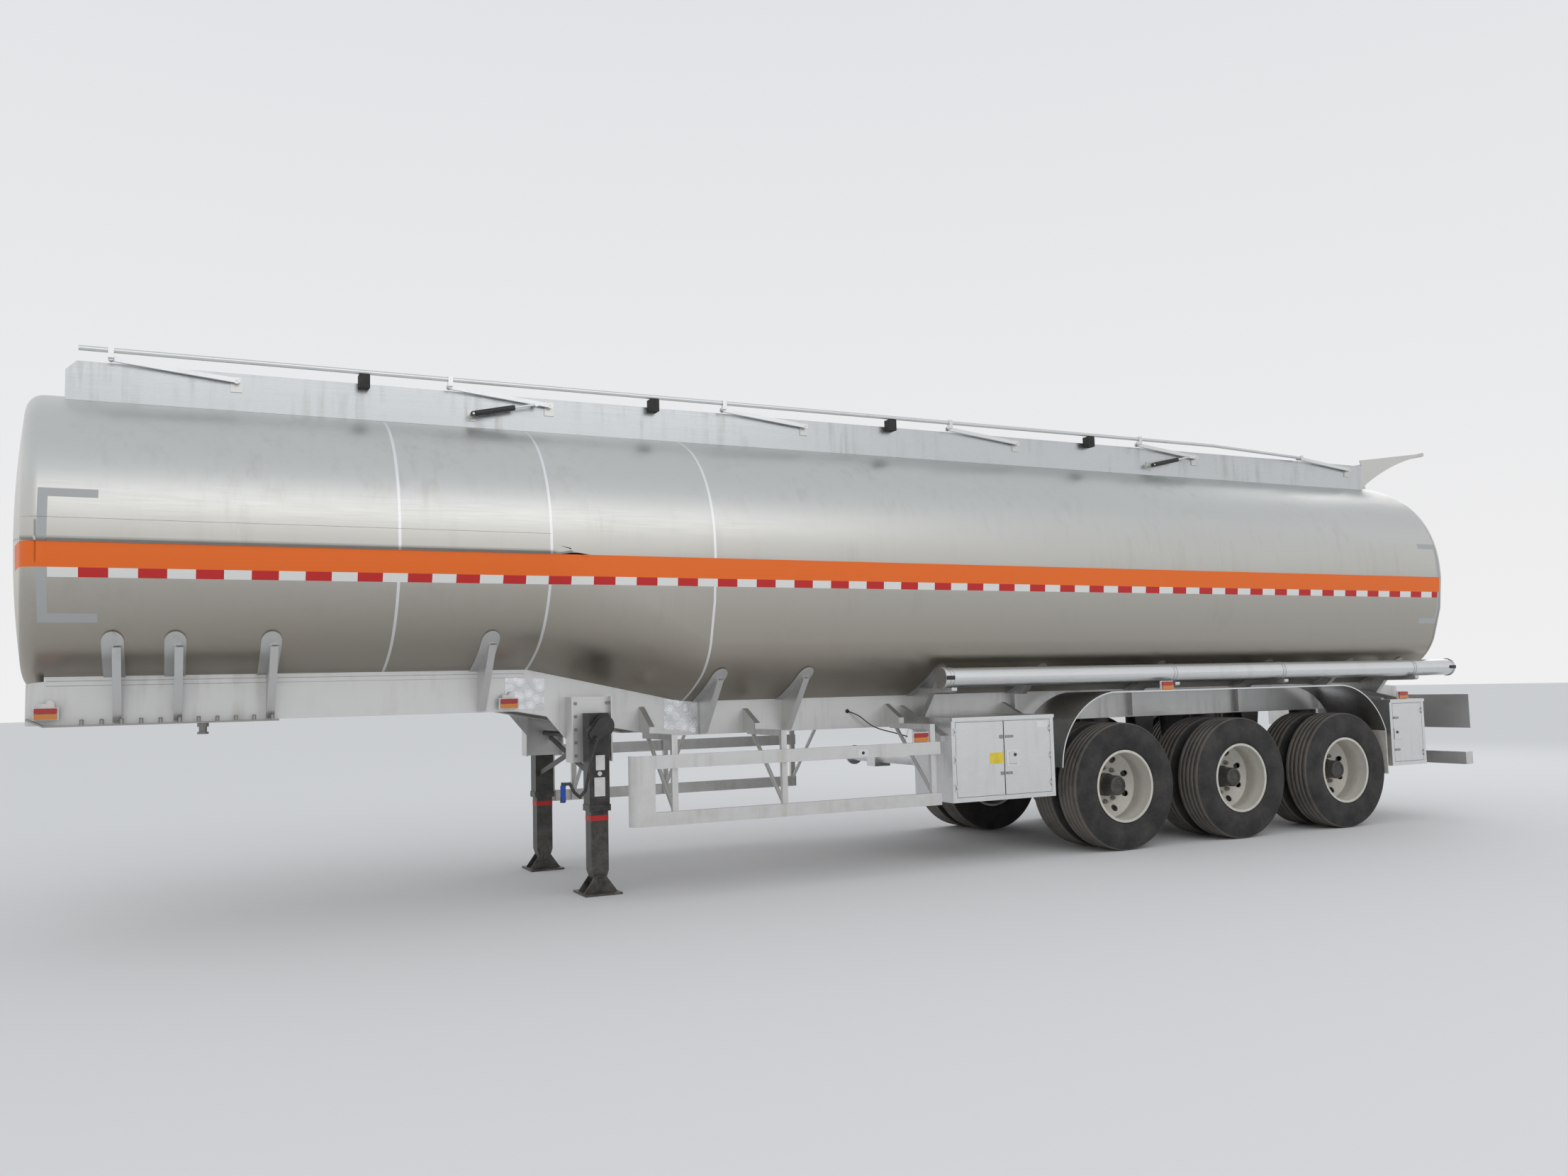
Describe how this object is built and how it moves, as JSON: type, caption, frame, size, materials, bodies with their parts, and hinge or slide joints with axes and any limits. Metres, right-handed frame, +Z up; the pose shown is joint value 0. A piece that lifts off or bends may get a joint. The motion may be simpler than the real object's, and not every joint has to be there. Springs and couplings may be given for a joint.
{
  "type": "tanker semi-trailer",
  "caption": "Box-oval tank semi-trailer on twin wheels, with landing legs, walkway, folding handrail, hose tubes and tool boxes.",
  "frame": {"origin": "on the ground, under the middle of the whole trailer", "axes": "+X forward, +Y to the trailer's left, +Z up"},
  "size_m": [12.8698, 2.5, 3.741],
  "materials": {
    "tank_metal": "brushed satin",
    "bright_metal": "polished",
    "frame_metal": "satin, stained",
    "dark_steel": "black paint, dusty",
    "rim_steel": "silver paint, dusty",
    "coupler_steel": "bare, greasy",
    "tyre_rubber": "dusty rubber",
    "flap_rubber": "off-white",
    "rest_rubber": "black",
    "lamp_white": "white plastic",
    "lens_amber": "clear amber",
    "lens_red": "clear red"
  },
  "bodies": {
    "trailer": {"tank_barrel": "tank_metal", "front_head": "tank_metal", "rear_head": "tank_metal", "coamings": "tank_metal", "walkway_deck": "bright_metal", "manhole_collars": "tank_metal", "rail_rests": "rest_rubber", "grab_frame": "tank_metal", "ladder": "bright_metal", "main_beams": "frame_metal", "rail_pivots": "tank_metal", "saddles": "frame_metal", "coupler_plate": "coupler_steel", "kingpin": "coupler_steel", "landing_legs": "dark_steel", "landing_feet": "dark_steel", "landing_gearing": "dark_steel", "side_guards": "frame_metal", "toolbox": "bright_metal", "rear_box": "bright_metal", "mudguards": "bright_metal", "mud_flaps": "flap_rubber", "hose_tubes": "bright_metal", "tube_brackets": "frame_metal", "axles": "dark_steel", "suspension": "dark_steel", "bumper": "frame_metal", "lamp_holders": "lamp_white", "amber_lenses": "lens_amber", "red_lenses": "lens_red", "discharge_pipes": "bright_metal"},
    "rail_arm_1": {"rail_arm_1": "bright_metal"},
    "rail_arm_2": {"rail_arm_2": "bright_metal"},
    "rail_arm_3": {"rail_arm_3": "bright_metal"},
    "rail_arm_4": {"rail_arm_4": "bright_metal"},
    "rail_arm_5": {"rail_arm_5": "bright_metal"},
    "rail_arm_6": {"rail_arm_6": "bright_metal"},
    "handrail": {"handrail": "bright_metal"},
    "strut_barrel_front": {"strut_barrel_front": "dark_steel"},
    "strut_rod_front": {"strut_rod_front": "bright_metal"},
    "strut_barrel_rear": {"strut_barrel_rear": "dark_steel"},
    "strut_rod_rear": {"strut_rod_rear": "bright_metal"},
    "manhole_lid_1": {"manhole_lid_1": "bright_metal"},
    "manhole_lid_2": {"manhole_lid_2": "bright_metal"},
    "manhole_lid_3": {"manhole_lid_3": "bright_metal"},
    "toolbox_door_front": {"toolbox_door_front": "bright_metal"},
    "toolbox_door_rear": {"toolbox_door_rear": "bright_metal"},
    "rear_box_door": {"rear_box_door": "bright_metal"},
    "twin_wheel_left_1": {"tyres_left_1": "tyre_rubber", "wheels_left_1": "rim_steel"},
    "twin_wheel_left_2": {"tyres_left_2": "tyre_rubber", "wheels_left_2": "rim_steel"},
    "twin_wheel_left_3": {"tyres_left_3": "tyre_rubber", "wheels_left_3": "rim_steel"},
    "twin_wheel_right_1": {"tyres_right_1": "tyre_rubber", "wheels_right_1": "rim_steel"},
    "twin_wheel_right_2": {"tyres_right_2": "tyre_rubber", "wheels_right_2": "rim_steel"},
    "twin_wheel_right_3": {"tyres_right_3": "tyre_rubber", "wheels_right_3": "rim_steel"}
  },
  "joints": [
    {"name": "rail_arm_1_hinge", "type": "hinge", "parent": "trailer", "child": "rail_arm_1", "pos_m": [5.185, 0.592, 3.485], "axis": [0, -1, 0], "range_deg": [0, 84]},
    {"name": "rail_arm_2_hinge", "type": "hinge", "parent": "trailer", "child": "rail_arm_2", "pos_m": [3.104, 0.592, 3.485], "axis": [0, -1, 0], "range_deg": [0, 84]},
    {"name": "rail_arm_3_hinge", "type": "hinge", "parent": "trailer", "child": "rail_arm_3", "pos_m": [1.023, 0.592, 3.485], "axis": [0, -1, 0], "range_deg": [0, 84]},
    {"name": "rail_arm_4_hinge", "type": "hinge", "parent": "trailer", "child": "rail_arm_4", "pos_m": [-1.058, 0.592, 3.485], "axis": [0, -1, 0], "range_deg": [0, 84]},
    {"name": "rail_arm_5_hinge", "type": "hinge", "parent": "trailer", "child": "rail_arm_5", "pos_m": [-3.139, 0.592, 3.485], "axis": [0, -1, 0], "range_deg": [0, 84]},
    {"name": "rail_arm_6_hinge", "type": "hinge", "parent": "trailer", "child": "rail_arm_6", "pos_m": [-5.22, 0.592, 3.485], "axis": [0, -1, 0], "range_deg": [0, 84]},
    {"name": "handrail_hinge", "type": "hinge", "parent": "rail_arm_1", "child": "handrail", "pos_m": [5.905, 0.592, 3.56], "axis": [0, -1, 0], "range_deg": [-84, 0]},
    {"name": "strut_barrel_front_hinge", "type": "hinge", "parent": "trailer", "child": "strut_barrel_front", "pos_m": [3.665, 0.627, 3.377], "axis": [0, -1, 0], "range_deg": [-9.26, 0]},
    {"name": "strut_rod_front_slide", "type": "slide", "parent": "strut_barrel_front", "child": "strut_rod_front", "axis": [-0.9757, 0, 0.219], "range_m": [0, 0.12378]},
    {"name": "strut_barrel_rear_hinge", "type": "hinge", "parent": "trailer", "child": "strut_barrel_rear", "pos_m": [-2.578, 0.627, 3.377], "axis": [0, -1, 0], "range_deg": [-9.26, 0]},
    {"name": "strut_rod_rear_slide", "type": "slide", "parent": "strut_barrel_rear", "child": "strut_rod_rear", "axis": [-0.9757, 0, 0.219], "range_m": [0, 0.12378]},
    {"name": "manhole_lid_1_hinge", "type": "hinge", "parent": "trailer", "child": "manhole_lid_1", "pos_m": [3.72, 0, 3.4903], "axis": [0, -1, 0], "range_deg": [0, 100]},
    {"name": "manhole_lid_2_hinge", "type": "hinge", "parent": "trailer", "child": "manhole_lid_2", "pos_m": [0.02, 0, 3.4903], "axis": [0, -1, 0], "range_deg": [0, 100]},
    {"name": "manhole_lid_3_hinge", "type": "hinge", "parent": "trailer", "child": "manhole_lid_3", "pos_m": [-3.607, 0, 3.4903], "axis": [0, -1, 0], "range_deg": [0, 100]},
    {"name": "toolbox_door_front_hinge", "type": "hinge", "parent": "trailer", "child": "toolbox_door_front", "pos_m": [0.124, 1.238, 0.818], "axis": [0, 0, -1], "range_deg": [0, 110]},
    {"name": "toolbox_door_rear_hinge", "type": "hinge", "parent": "trailer", "child": "toolbox_door_rear", "pos_m": [-0.782, 1.238, 0.818], "axis": [0, 0, 1], "range_deg": [0, 110]},
    {"name": "rear_box_door_hinge", "type": "hinge", "parent": "trailer", "child": "rear_box_door", "pos_m": [-5.269, 1.208, 0.8415], "axis": [0, 0, 1], "range_deg": [0, 110]},
    {"name": "twin_wheel_left_1_spin", "type": "hinge", "parent": "trailer", "child": "twin_wheel_left_1", "pos_m": [-1.555, 0.93, 0.525], "axis": [0, 1, 0], "continuous": true},
    {"name": "twin_wheel_left_2_spin", "type": "hinge", "parent": "trailer", "child": "twin_wheel_left_2", "pos_m": [-2.865, 0.93, 0.525], "axis": [0, 1, 0], "continuous": true},
    {"name": "twin_wheel_left_3_spin", "type": "hinge", "parent": "trailer", "child": "twin_wheel_left_3", "pos_m": [-4.175, 0.93, 0.525], "axis": [0, 1, 0], "continuous": true},
    {"name": "twin_wheel_right_1_spin", "type": "hinge", "parent": "trailer", "child": "twin_wheel_right_1", "pos_m": [-1.555, -0.93, 0.525], "axis": [0, 1, 0], "continuous": true},
    {"name": "twin_wheel_right_2_spin", "type": "hinge", "parent": "trailer", "child": "twin_wheel_right_2", "pos_m": [-2.865, -0.93, 0.525], "axis": [0, 1, 0], "continuous": true},
    {"name": "twin_wheel_right_3_spin", "type": "hinge", "parent": "trailer", "child": "twin_wheel_right_3", "pos_m": [-4.175, -0.93, 0.525], "axis": [0, 1, 0], "continuous": true}
  ],
  "couplings": [
    {"joint": "rail_arm_2_hinge", "follows": "rail_arm_1_hinge", "ratio": 1},
    {"joint": "rail_arm_3_hinge", "follows": "rail_arm_1_hinge", "ratio": 1},
    {"joint": "rail_arm_4_hinge", "follows": "rail_arm_1_hinge", "ratio": 1},
    {"joint": "rail_arm_5_hinge", "follows": "rail_arm_1_hinge", "ratio": 1},
    {"joint": "rail_arm_6_hinge", "follows": "rail_arm_1_hinge", "ratio": 1},
    {"joint": "handrail_hinge", "follows": "rail_arm_1_hinge", "ratio": -1},
    {"joint": "strut_barrel_front_hinge", "follows": "rail_arm_1_hinge", "ratio": -0.10969},
    {"joint": "strut_rod_front_slide", "follows": "rail_arm_1_hinge", "m_per_rad": 0.084089},
    {"joint": "strut_barrel_rear_hinge", "follows": "rail_arm_1_hinge", "ratio": -0.10969},
    {"joint": "strut_rod_rear_slide", "follows": "rail_arm_1_hinge", "m_per_rad": 0.084089}
  ]
}
